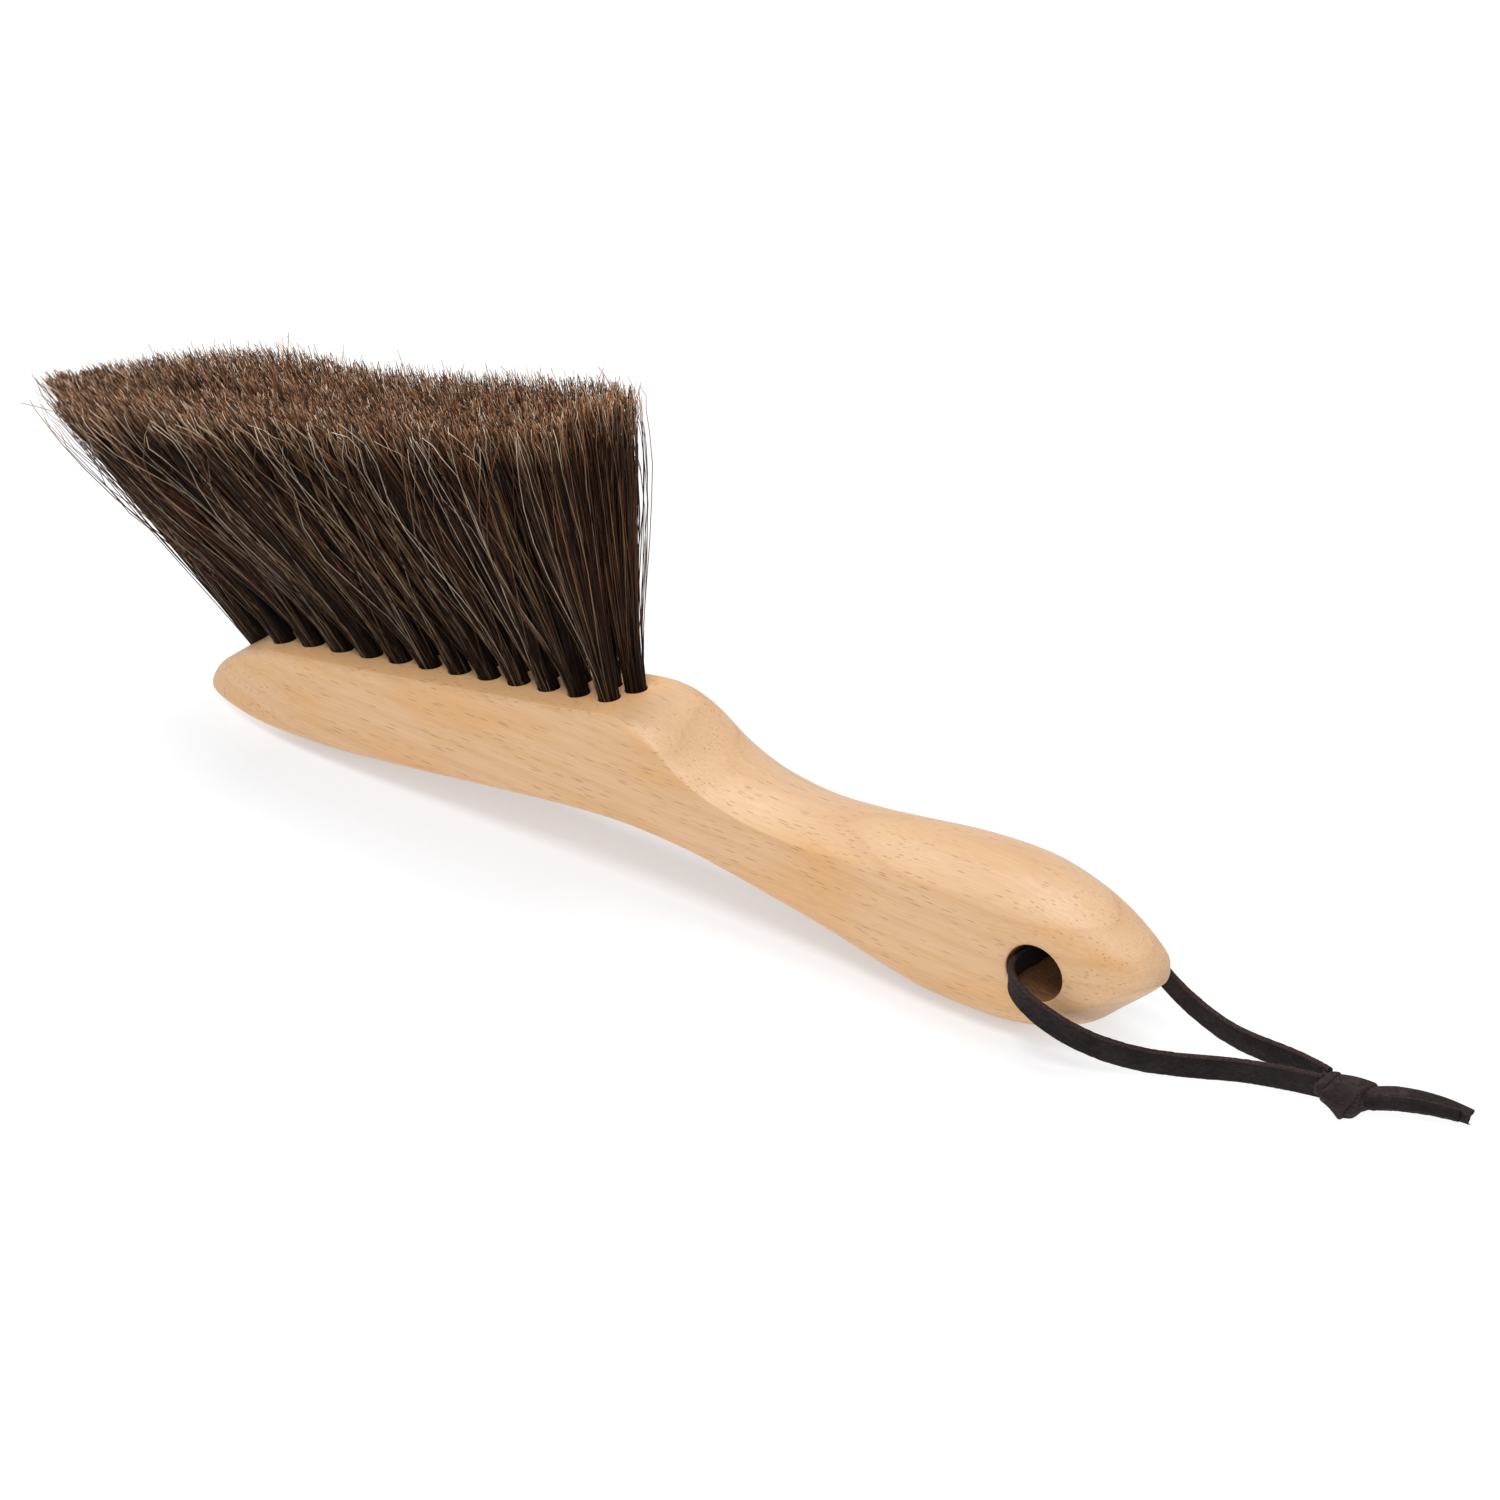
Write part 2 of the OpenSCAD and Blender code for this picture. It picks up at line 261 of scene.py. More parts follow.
def mix(tree, factor, a, b, blend="MIX"):
    """Two colours or sockets blended by a factor."""
    node = put(tree, "Mix", data_type="RGBA", blend_type=blend)
    for name, value in zip(("Factor_Float", "A_Color", "B_Color"), (factor, a, b)):
        socket = next(s for s in node.inputs if s.identifier == name)
        if isinstance(value, bpy.types.NodeSocket):
            tree.links.new(value, socket)
        else:
            socket.default_value = value if name == "Factor_Float" else (*value, 1)
    return next(s for s in node.outputs if s.identifier == "Result_Color")


def bump(tree, shader, height, strength, distance):
    """Relief on the shader from a height, with its distance in millimetres."""
    node = put(tree, "Bump", {"Height": height, "Strength": strength, "Distance": distance * MM})
    drive(tree, shader, Normal=node.outputs["Normal"])


def beech():
    """Pale oiled beech, its grain along X: growth rings, short ray flecks and fine fibres, with a
    painted sheen on what faces up or down and painted light on the face round the tufts.
    """
    material, tree, shader = new_material("beech_oiled", Specular_IOR_Level=0.45)
    place = put(tree, "SeparateXYZ", {0: millimetres(tree, (1, 1, 1))}).outputs
    facing = put(tree, "SeparateXYZ", {0: put(tree, "TexCoord").outputs["Normal"]}).outputs
    sideways = ramp(tree, maths(tree, "ABSOLUTE", facing["Y"]), [(0.50, 0.0), (0.95, 1.0)])
    wander = noise(tree, millimetres(tree, (0.012, 0.05, 0.05)), 2.0)
    # the rings are round a pith that runs far below the stock, slightly askew to X
    from_pith = put(tree, "CombineXYZ", {"Y": maths(tree, "SUBTRACT", place["Y"], PITH_Y),
                                         "Z": maths(tree, "SUBTRACT", place["Z"], PITH_Z)})
    radius = vectors(tree, "LENGTH", from_pith.outputs[0])
    radius = maths(tree, "ADD", radius, maths(tree, "MULTIPLY", place["X"], PITH_SKEW))
    radius = maths(tree, "ADD", radius, maths(tree, "MULTIPLY", wander, RING_SWAY))
    ring = maths(tree, "FRACT", maths(tree, "DIVIDE", radius, RING_WIDTH))
    late = ramp(tree, ring, [(0.0, 0.25), (0.12, 0.0), (0.6, 0.18), (0.92, 1.0), (0.97, 0.25)])
    strength = ramp(tree, sideways, [(0.0, 0.80), (1.0, 0.34)])
    pale, tan = (0.760, 0.475, 0.262), (0.640, 0.335, 0.150)
    colour = mix(tree, maths(tree, "MULTIPLY", late, strength), pale, tan)
    # slow drifts to a warmer tone
    drift = noise(tree, millimetres(tree, (0.026, 0.09, 0.08)))
    warm = ramp(tree, drift, [(0.44, 0.0), (0.62, 1.0)])
    colour = mix(tree, maths(tree, "MULTIPLY", warm, 0.55), colour, (0.73, 0.385, 0.135))
    # painted sheen: all that faces up or down is painted paler than the sides, standing in for the
    # lamps' soft reflections on the tops
    colour = mix(tree, ramp(tree, sideways, [(0.0, 0.34), (1.0, 0.0)]), colour, (0.80, 0.59, 0.42))
    # painted light: the face round the tufts is painted paler and more orange, for the light that
    # the hair's shadow keeps off it; this ends between X 14 and 20
    from_nose = maths(tree, "ADD", maths(tree, "MULTIPLY", place["X"], 0.01), 0.5)
    ahead = ramp(tree, from_nose, [(0.64, 1.0), (0.70, 0.0)])
    upward = ramp(tree, facing["Z"], [(0.80, 0.0), (0.94, 0.80)])
    colour = mix(tree, maths(tree, "MULTIPLY", ahead, upward), colour, (0.99, 0.575, 0.265))
    # fine fibres along the grain
    fibre = noise(tree, millimetres(tree, (0.09, 2.6, 2.6)), 4.0, 0.65)
    colour = mix(tree, 1.0, colour, ramp(tree, fibre, [(0.3, 0.90), (0.7, 1.06)]), "MULTIPLY")
    # short dark flecks along the grain, which bends a little, thinned out in patches
    bend = put(tree, "CombineXYZ", {"Z": maths(tree, "MULTIPLY", wander, 3.0)}).outputs[0]
    bent = vectors(tree, "ADD", millimetres(tree, (0.15, 1.9, 1.9)), bend)
    cell = put(tree, "TexVoronoi", {"Vector": bent, "Scale": 1.0, "Randomness": 1.0})
    spot = ramp(tree, cell.outputs["Distance"], [(0.17, 1.0), (0.27, 0.0)])
    patches = noise(tree, millimetres(tree, (0.09, 0.5, 0.5)), 2.0)
    fleck = maths(tree, "MULTIPLY", spot, ramp(tree, patches, [(0.42, 0.0), (0.56, 1.0)]))
    colour = mix(tree, maths(tree, "MULTIPLY", fleck, 0.62), colour, (0.40, 0.170, 0.075))
    drive(tree, shader, Base_Color=colour, Roughness=ramp(tree, fibre, [(0.3, 0.50), (0.7, 0.40)]))
    relief = maths(tree, "SUBTRACT", fibre, maths(tree, "MULTIPLY", fleck, 0.6))
    bump(tree, shader, relief, 0.16, 0.12)
    return material


def bore_wall():
    """The drilled wall of the hanging hole, painted dark brown: painted shade for the inside of the
    hole.
    """
    material, tree, shader = new_material("beech_bored", Roughness=0.6, Specular_IOR_Level=0.25)
    fibre = noise(tree, millimetres(tree, (0.3, 1.2, 2.6)), 4.0, 0.65)
    tone = ramp(tree, fibre, [(0.3, (0.155, 0.070, 0.028)), (0.7, (0.330, 0.165, 0.072))])
    drive(tree, shader, Base_Color=tone)
    return material


def hair(name, root, middle, tip):
    """One tone of horsehair: dark at the root, mostly painted shade of the packed tuft, and lighter
    to the tip, partly the hair's own paler ends and partly painted light from above; streaked along
    it.
    """
    material, tree, shader = new_material(name, Roughness=0.42, Specular_IOR_Level=0.16)
    along = put(tree, "Attribute", attribute_name="along").outputs["Fac"]
    tone = ramp(tree, along, [(0.06, root), (0.42, middle), (0.84, middle), (0.985, tip)])
    streak = noise(tree, millimetres(tree, (1.1, 1.1, 0.12)), 2.0)
    streaks = ramp(tree, streak, [(0.3, 0.72), (0.7, 1.3)])
    drive(tree, shader, Base_Color=mix(tree, 1.0, tone, streaks, "MULTIPLY"))
    return material


def leather(name, paleness):
    """The smooth dark outer face of the leather, finely grained. Its tone is scaled by paleness: a
    copy paler than the rest is painted light for the parts that catch more light.
    """
    material, tree, shader = new_material(name, Specular_IOR_Level=0.14)
    pore = put(tree, "TexVoronoi", {"Vector": millimetres(tree, (2.6, 2.6, 2.6)), "Scale": 1.0},
               feature="DISTANCE_TO_EDGE").outputs["Distance"]
    crease = noise(tree, millimetres(tree, (0.9, 0.9, 2.4)), 4.0, 0.6, 0.6)
    cloud = noise(tree, millimetres(tree, (0.16, 0.16, 0.3)))
    # paleness scales the whole tone: above 1 it paints light on the parts that catch more of it
    deep, light = (tuple(paleness * c for c in colour)
                   for colour in ((0.013, 0.0086, 0.0084), (0.027, 0.0188, 0.0182)))
    base = mix(tree, ramp(tree, cloud, [(0.35, 0.0), (0.66, 1.0)]), deep, light)
    worn = ramp(tree, crease, [(0.35, 0.70), (0.68, 1.35)])
    drive(tree, shader, Base_Color=mix(tree, 1.0, base, worn, "MULTIPLY"),
          Roughness=ramp(tree, crease, [(0.3, 0.74), (0.7, 0.52)]))
    grain = maths(tree, "ADD", ramp(tree, pore, [(0.0, 0.0), (0.22, 0.5)]), crease)
    bump(tree, shader, grain, 0.42, 0.18)
    return material


def leather_edge():
    """The raw cut edge: reddish brown and fibrous."""
    material, tree, shader = new_material("leather_cut", Specular_IOR_Level=0.2)
    fibre = noise(tree, millimetres(tree, (2.2, 2.2, 5.0)), 4.0, 0.7)
    tone = ramp(tree, fibre, [(0.3, (0.018, 0.011, 0.010)), (0.55, (0.046, 0.028, 0.026)),
                              (0.75, (0.100, 0.066, 0.060))])
    drive(tree, shader, Base_Color=tone, Roughness=ramp(tree, fibre, [(0.3, 0.95), (0.7, 0.8)]))
    bump(tree, shader, fibre, 0.7, 0.25)
    return material


def steel():
    """Drawn flat wire."""
    material, tree, shader = new_material("drawn_wire", Metallic=1.0)
    drawn = noise(tree, millimetres(tree, (6.0, 0.4, 6.0)))
    tone = ramp(tree, drawn, [(0.3, (0.42, 0.42, 0.43)), (0.7, (0.60, 0.60, 0.61))])
    drive(tree, shader, Base_Color=tone, Roughness=ramp(tree, drawn, [(0.3, 0.45), (0.7, 0.3)]))
    return material


def paper():
    """The white sweep under the brush. It glows, painted light that lightens the shadows on it, and
    away from the stock it glows so brightly that shadows only show near the stock.
    """
    material, tree, shader = new_material("white_floor", Roughness=0.9, Specular_IOR_Level=0.1,
                                          Emission_Strength=1.0)
    place = vectors(tree, "ADD", put(tree, "TexCoord").outputs["Object"],
                    (-OVAL_CENTRE[0], -OVAL_CENTRE[1], 0))
    oval = vectors(tree, "MULTIPLY", place, (1 / OVAL_HALF[0], 1 / OVAL_HALF[1], 1))
    cloud = noise(tree, millimetres(tree, (0.02, 0.02, 0.02)), 2.0)
    away = maths(tree, "ADD", vectors(tree, "LENGTH", oval), maths(tree, "MULTIPLY", cloud, 0.05))
    glow = ramp(tree, away, [(0.74, (0.335, 0.362, 0.388)), (1.0, (0.93, 0.935, 0.94))])
    base = ramp(tree, away, [(0.74, (0.655, 0.657, 0.670)), (1.0, (0.12, 0.12, 0.12))])
    drive(tree, shader, Base_Color=base, Emission_Color=glow)
    return material


# ---- meshes --------------------------------------------------------------------

def mesh_piece(name, points, faces, materials, slots=None, sharp=None):
    """A mesh object from points in millimetres, smooth but for edges sharper than sharp degrees."""
    mesh = bpy.data.meshes.new(name)
    mesh.from_pydata((np.asarray(points) * MM).tolist(), [], faces)
    for material in materials:
        mesh.materials.append(material)
    if slots is not None:
        mesh.polygons.foreach_set("material_index", slots)
    mesh.shade_smooth()
    if sharp:
        mesh.set_sharp_from_angle(angle=math.radians(sharp))
    mesh.update()
    piece = bpy.data.objects.new(name, mesh)
    bpy.context.scene.collection.objects.link(piece)
    return piece


def skin(rings, per_ring, first=0):
    """Faces of a closed tube through rings of points, with its two ends."""
    faces = [[first + j * per_ring + k, first + j * per_ring + (k + 1) % per_ring,
              first + (j + 1) * per_ring + (k + 1) % per_ring, first + (j + 1) * per_ring + k]
             for j in range(rings - 1) for k in range(per_ring)]
    last = first + (rings - 1) * per_ring
    ends = [[first + k for k in reversed(range(per_ring))], [last + k for k in range(per_ring)]]
    return faces + ends


def joined(tubes):
    """Points and faces of one mesh of several closed tubes, each an array of rings of points."""
    points, faces, count = [], [], 0
    for rings in tubes:
        points.append(rings.reshape(-1, 3))
        faces += skin(rings.shape[0], rings.shape[1], count)
        count += len(points[-1])
    return np.vstack(points), faces


def fix_normals(piece):
    """Turn all faces of closed shells outwards."""
    work = bmesh.new()
    work.from_mesh(piece.data)
    bmesh.ops.recalc_face_normals(work, faces=work.faces)
    work.to_mesh(piece.data)
    work.free()


# ---- stock ---------------------------------------------------------------------

def section_ring(station, corner_steps=11, flat_steps=9):
    """Points round one section of the stock: along its flats, and round its corners, each of them
    between a quarter circle and a chamfer."""
    x, low, high, half, top_across, top_up, bottom_across, bottom_up, top_flat, bottom_flat = station
    turn, share = np.radians(np.linspace(0, 90, corner_steps)), np.linspace(0, 1, corner_steps)

    def corner(across, up, flat):
        sideways = np.cos(turn) * (1 - flat) + (1 - share) * flat
        return np.column_stack([half - across + across * sideways,
                                up * (np.sin(turn) * (1 - flat) + share * flat)])

    top = corner(top_across, top_up, top_flat) + [0, high - top_up]
    bottom = corner(bottom_across, bottom_up, bottom_flat) * [1, -1] + [0, low + bottom_up]
    mirror = np.array([-1, 1])
    runs = [top, top[::-1] * mirror, bottom * mirror, bottom[::-1]]
    points = []
    for run, following in zip(runs, runs[1:] + runs[:1]):
        points += list(run)
        points += [run[-1] + (following[0] - run[-1]) * k / flat_steps for k in range(1, flat_steps)]
    return np.array([[x, y, z] for y, z in points])


SMOOTH_STATIONS = spline_rows(STATIONS, 8)
# the angle between faces, in degrees, from which an edge of the wood is drawn sharp
SHARP_WOOD = 38


def stock_at(x, column):
    """A column of the smoothed stations at x."""
    return np.interp(x, SMOOTH_STATIONS[:, 0], SMOOTH_STATIONS[:, column])


def half_width(x, z):
    """Half width of the stock at x and height z."""
    low, high, half, top_across, top_up, bottom_across, bottom_up = (
        stock_at(x, i) for i in range(1, 8))
    if z > high - top_up:
        rise = (z - high + top_up) / top_up
        return half - top_across + top_across * math.sqrt(max(0.0, 1 - rise ** 2))
    if z < low + bottom_up:
        fall = (low + bottom_up - z) / bottom_up
        return half - bottom_across + bottom_across * math.sqrt(max(0.0, 1 - fall ** 2))
    return half


def face_z(x):
    """Height of the head's flat top face."""
    (x0, _, z0), (x1, _, z1) = FACE_START[:3], FACE_END[:3]
    return z0 + (z1 - z0) / (x1 - x0) * (x - x0)


def root_z(x):
    """Height of a tuft's root: in the top face, or where the nose curves down below it."""
    return min(face_z(x), stock_at(x, 2))


# the first and the last place along the two rows
LAST_X = LAST_FRONT_X + TUFT_PITCH / 2
FIRST_X = LAST_X - TUFT_PITCH * (BACK_TUFTS - 1)


def row_share(x):
    """How far x lies from the foremost tuft to the last one, from 0 to 1."""
    return max(0.0, (x - FIRST_X) / (LAST_X - FIRST_X))


def is_foremost(cell_x):
    """Whether this is the tuft that stands alone on the nose."""
    return cell_x <= FIRST_X + 0.1


def is_at_heel(cell_x):
    """Whether this is the last tuft of its row."""
    return cell_x > LAST_X - TUFT_PITCH


def lean(x):
    """A bore's lean towards the nose."""
    return math.radians(NOSE_LEAN - (NOSE_LEAN - HEEL_LEAN) * row_share(x) ** LEAN_POWER)


def parting_lean(x):
    """Lean of the line that parts the hair of two tufts."""
    return math.radians(NOSE_FAN - (NOSE_FAN - HEEL_FAN) * row_share(x) ** FAN_POWER)


# node, the bore's x, the x of the tuft's own place in the row, side
TUFTS = []
for i in range(FRONT_TUFTS):
    at = LAST_FRONT_X - TUFT_PITCH * (FRONT_TUFTS - 1 - i)
    TUFTS.append((f"tuft_front_{i + 1:02d}", at, at, -1))
for i in range(BACK_TUFTS):
    at = FIRST_X + TUFT_PITCH * i
    TUFTS.append((f"tuft_back_{i + 1:02d}", at - (LAST_SHIFT if i == BACK_TUFTS - 1 else 0), at, 1))


def root_frame(x, side):
    """The middle of a tuft's bore in the top face, and the directions across it and along it."""
    a = lean(x)
    return (np.array([x, side * ROW_GAP / 2, root_z(x)]), np.array([math.cos(a), 0, math.sin(a)]),
            np.array([-math.sin(a), 0, math.cos(a)]))


def hole_cutter(steps=120, rounding=0.5):
    """The hanging hole, whose rim is rounded where it meets the handle's sides."""
    around = []
    for k in range(steps):
        a = 2 * math.pi * k / steps
        c, s = math.cos(a), math.sin(a)
        around.append((c, s, half_width(HOLE_X + HOLE_D / 2 * c, HOLE_Z + HOLE_D / 2 * s)))
    # how far out of the handle's side each ring stands, in shares of the rounding
    levels = [-k / 6 for k in range(6, 0, -1)] + [0.0, 0.35]
    rings = []
    for side, side_levels in ((-1, levels[::-1]), (1, levels)):
        for level in side_levels:
            depth = max(0.0, -level * rounding)
            grown = rounding - math.sqrt(max(0.0, rounding ** 2 - (rounding - depth) ** 2))
            r = HOLE_D / 2 + (grown + 3 * max(0.0, level))
            rings.append([[HOLE_X + r * c, side * (rim + level * rounding), HOLE_Z + r * s]
                          for c, s, rim in around])
    return np.array(rings)


def bore_cutter(x, side, steps=40):
    """A tuft's bore, a little wider at its mouth and carried on above the face."""
    root, across, up = root_frame(x, side)
    around = np.linspace(0, 2 * math.pi, steps, endpoint=False)
    flat = np.outer(np.cos(around), across) + np.outer(np.sin(around), Y_AXIS)
    profile = [(-BORE_DEPTH, 0), (-0.25, 0), (0.0, 0.1), (6.0, 0.1)]
    return np.array([root + h * up + (BORE_D / 2 + grow) * flat for h, grow in profile])


def stock_piece(material, wall):
    """The stock: a skin through its sections, less the hanging hole and the bores."""
    points, faces = joined([np.array([section_ring(s) for s in SMOOTH_STATIONS])])
    stock = mesh_piece("stock_wood", points, faces, [material])
    points, faces = joined([hole_cutter()] + [bore_cutter(x, side) for _, x, _, side in TUFTS])
    cutter = mesh_piece("cutter", points, faces, [])
    fix_normals(stock)
    fix_normals(cutter)
    cut = stock.modifiers.new("cut", "BOOLEAN")
    cut.operation, cut.solver, cut.object = "DIFFERENCE", "EXACT", cutter
    graph = bpy.context.evaluated_depsgraph_get()
    carved = bpy.data.meshes.new_from_object(stock.evaluated_get(graph))
    stock.modifiers.clear()
    stock.data = carved
    bpy.data.objects.remove(cutter)
    carved.materials.clear()
    carved.materials.append(material)
    carved.materials.append(wall)
    # the faces inside the hanging hole take the dark wall, painted shade for the hole
    for face in carved.polygons:
        x, y, z = face.center / MM
        in_hole = math.hypot(x - HOLE_X, z - HOLE_Z) < HOLE_D / 2 + 0.02
        face.material_index = int(in_hole and abs(y) < half_width(x, z) - 0.2)
    carved.shade_smooth()
    carved.set_sharp_from_angle(angle=math.radians(SHARP_WOOD))
    return stock


# ---- hair ----------------------------------------------------------------------

HAIRS = 540
STRANDS = 16
LOCKS = 18
# shares of the hairs: loose ones, ones that end below the trim, all but those that end above it,
# ones that stand off at the two ends of the fan, and paler ones at the heel
STRAY_SHARE = 0.05
SHORT_SHARE = 0.24
NOT_LONG_SHARE = 0.98
OFF_SHARE = 0.14
HEEL_PALE_SHARE = 0.35
# radius of a hair, and how much narrower than its bore a tuft is at its root, on each side
THINNEST, THICKEST = 0.080, 0.120
ROOT_GAP = 0.22
# the share of a hair's length by which its two ends keep their own directions
REACH = 0.30
# points along a hair: the first one in millimetres from the bore's mouth, the others in shares
SEGMENTS = np.array([-6.4, 0.0, 0.1, 0.22, 0.35, 0.48, 0.61, 0.73, 0.83, 0.91, 0.96, 1.0])
ALONG = np.clip(SEGMENTS, 0, 1)
# name, share of the hairs, and colours at the root, in the middle and at the tip; the dark roots are
# mostly painted shade, and the pale tips partly painted light
HAIR_TONES = [
    ("hair_black", 0.36, (0.006, 0.003, 0.002), (0.011, 0.005, 0.003), (0.042, 0.019, 0.010)),
    ("hair_dark", 0.28, (0.009, 0.004, 0.003), (0.025, 0.011, 0.006), (0.130, 0.062, 0.031)),
    ("hair_brown", 0.20, (0.020, 0.009, 0.005), (0.060, 0.027, 0.013), (0.360, 0.205, 0.120)),
    ("hair_rust", 0.10, (0.026, 0.009, 0.003), (0.095, 0.032, 0.012), (0.400, 0.180, 0.082)),
    ("hair_tan", 0.045, (0.090, 0.050, 0.027), (0.200, 0.118, 0.064), (0.680, 0.510, 0.370)),
    ("hair_grey", 0.015, (0.170, 0.120, 0.085), (0.370, 0.290, 0.220), (0.760, 0.640, 0.530)),
]
# the slots that loose hairs, hairs at the heel and the light strands pick from
STRAY_TONES = [1, 2, 3, 4]
HEEL_TONES = [2, 3, 3, 4]
STRAND_TONES = [2, 2, 3, 4, 4, 5]

# where the fan is fuller at the back, how far along X, and by how much outwards and upwards
BULGE_X = -95
BULGE_SPAN = 25
BULGE_OUT = 5.0
BULGE_UP = 1.8
# where the fan starts to round off at its two ends
NOSE_ROUND_X = -114
HEEL_ROUND_X = -15
# beyond this X the outermost tips at the nose stand closer than their cells
CLOSE_X = -112
CLOSER = 0.88


def tip_x(x, a):
    """Where a line from the top face at x, at lean a, meets the trimmed tips."""
    m = math.tan(TRIM_SLOPE)
    return x - (TRIM_HEIGHT + m * x - face_z(x)) / (math.cos(a) + m * math.sin(a)) * math.sin(a)


def cell_of(x):
    """The stretch along X that a tuft's tips spread over."""
    before, after = x - TUFT_PITCH / 2, x + TUFT_PITCH / 2
    return tip_x(before, parting_lean(before)), tip_x(after, parting_lean(after))


def rounded_end(past, reach, least):
    """How the fan narrows past the place where its end starts to round off."""
    return np.sqrt(np.clip(1 - (np.clip(past, 0, None) / reach) ** 2, least, 1))


def fan_width(x, side):
    """How far out the tips reach at x, and how much higher they stand there."""
    bulge = np.exp(-((x - BULGE_X) / BULGE_SPAN) ** 2) if side > 0 else 0 * x
    nose = rounded_end(NOSE_ROUND_X - x, reach=22, least=0.12)
    heel = rounded_end(x - HEEL_ROUND_X, reach=30, least=0.3)
    return (FAN_HALF + BULGE_OUT * bulge) * nose * heel, BULGE_UP * bulge


def bezier(t, a, b, c, d):
    """The point at share t of a curve from a to d that is drawn towards b and c."""
    return (1 - t) ** 3 * a + 3 * (1 - t) ** 2 * t * b + 3 * (1 - t) * t ** 2 * c + t ** 3 * d


def hair_paths(x, cell_x, side, across_share, out_share, tip_shift):
    """Middle lines of hairs from the bore to the trimmed tips, for shares from -1 to 1 over the
    cell, and the direction across the bore."""
    root, across, up = root_frame(x, side)
    u, v = across_share, out_share
    inner = BORE_D / 2 - ROOT_GAP
    in_bore = (np.outer(inner * u * np.sqrt(1 - v ** 2 / 2), across)
               + np.outer(inner * v * np.sqrt(1 - u ** 2 / 2), Y_AXIS))
    base = root + in_bore
    x0, x1 = cell_of(cell_x)
    tips = np.zeros_like(base)
    tips[:, 0] = (x0 + x1) / 2 + u * (x1 - x0) / 2 + tip_shift[:, 0]
    closer = CLOSE_X + (tips[:, 0] - CLOSE_X) * CLOSER
    tips[:, 0] = np.where(tips[:, 0] < CLOSE_X, closer, tips[:, 0])
    width, rise = fan_width(tips[:, 0], side)
    tips[:, 1] = (side + v) * width / 2 + tip_shift[:, 1]
    tips[:, 2] = TRIM_HEIGHT + math.tan(TRIM_SLOPE) * tips[:, 0] + rise
    length = np.linalg.norm(tips - base, axis=1, keepdims=True)
    straight = unit(tips - base)
    tips = tips + straight * tip_shift[:, 2:]
    # the foremost tuft bends over right at its mouth
    leave = unit(0.2 * up + 0.8 * straight) if is_foremost(cell_x) else up
    first = base + leave * length * REACH
    second = tips - unit(straight * 0.75 + up * 0.25) * length * REACH
    paths = [base + up * t if t < 0 else bezier(t, base, first, second, tips) for t in SEGMENTS]
    return np.stack(paths, axis=1), across


def tip_shifts(stray, foremost, at_heel):
    """How far hairs' tips stand from their places: along X, along Y, and along the hair."""
    count = len(stray)
    shift = rng.normal(0, [1.1, 0.9, 0.55], (count, 3))
    draw = rng.random(count)
    # about a quarter are shorter than the trim, and a few are longer
    shift[:, 2] -= np.where(draw < SHORT_SHARE, rng.uniform(0, 5.0, count), 0)
    shift[:, 2] += np.where(draw > NOT_LONG_SHARE, rng.uniform(0.3, 1.6, count), 0)
    shift[:, :2] += np.where(stray[:, None], rng.normal(0, [5.5, 1.6], (count, 2)), 0)
    if foremost or at_heel:
        # the two ends of the fan are neat, but for some loose hairs that stand off outwards
        outwards, spread = (-1, 3.2) if foremost else (1, 1.6)
        shift[:, 0] = np.clip(shift[:, 0], -2.2, 2.2)
        loose = np.abs(rng.normal(0, spread, count)) * outwards
        shift[:, 0] += np.where(rng.random(count) < OFF_SHARE, loose, 0)
    return shift


def hair_sway(stray, strand, outer, own_lock, wildness):
    """Every hair's bends and its lock's, and kinks at the tips, across the bore and along Y."""
    count, t = len(stray), ALONG
    wild = wildness * stray[:, None]
    bow = (rng.normal(0, 0.55, (count, 2)) + rng.normal(0, 1.05, (LOCKS, 2))[own_lock]
           + wild * rng.normal(0, 3.0, (count, 2)))
    wave = rng.normal(0, 0.5, (count, 2)) + wild * rng.normal(0, 2.4, (count, 2))
    phase = rng.uniform(0, 2 * math.pi, (count, 1))
    sway = (bow[:, None, :] * (np.sin(math.pi * t) * t ** 0.5)[None, :, None]
            + wave[:, None, :] * (t ** 1.3 * np.sin(2.2 * math.pi * t + phase))[:, :, None])
    # the light strands only bend outwards
    outside = outer * np.abs(sway[:, :, 1]) + outer * 0.8 * np.sin(math.pi * t)
    sway[:, :, 1] = np.where(strand[:, None], outside, sway[:, :, 1])
    at_tip = np.clip((t - 0.6) / 0.4, 0, 1) ** 1.2
    return sway + rng.normal(0, 0.31, (count, len(t), 2)) * at_tip[None, :, None]


def hair_tubes(paths, strand):
    """Tubes of three sides round the hairs' middle lines, thinner at the tips."""
    count = len(paths)
    along = unit(np.gradient(paths, axis=1))
    one = unit(np.cross(along, Y_AXIS))
    two = np.cross(along, one)
    radius = rng.uniform(THINNEST, THICKEST, count) * np.where(strand, 1.05, 1.0)
    radius = radius[:, None] * (1 - 0.35 * np.clip((ALONG - 0.7) / 0.3, 0, 1))[None, :]
    turn = rng.uniform(0, 2 * math.pi, count)
    corners = []
    for k in range(3):
        around = (turn + k * 2 * math.pi / 3)[:, None, None]
        corners.append(paths + radius[:, :, None] * (np.cos(around) * one + np.sin(around) * two))
    return np.stack(corners, axis=2)


def hair_tones(stray, strand, at_heel):
    """The slot of every hair's tone. Loose hairs and light strands are paler than the rest."""
    count = len(stray)
    tones = rng.choice(len(HAIR_TONES), count, p=[tone[1] for tone in HAIR_TONES])
    tones = np.where(stray, rng.choice(STRAY_TONES, count), tones)
    if at_heel:
        paler = rng.random(count) < HEEL_PALE_SHARE
        tones = np.where(paler, rng.choice(HEEL_TONES, count), tones)
    return np.where(strand, rng.choice(STRAND_TONES, count), tones)


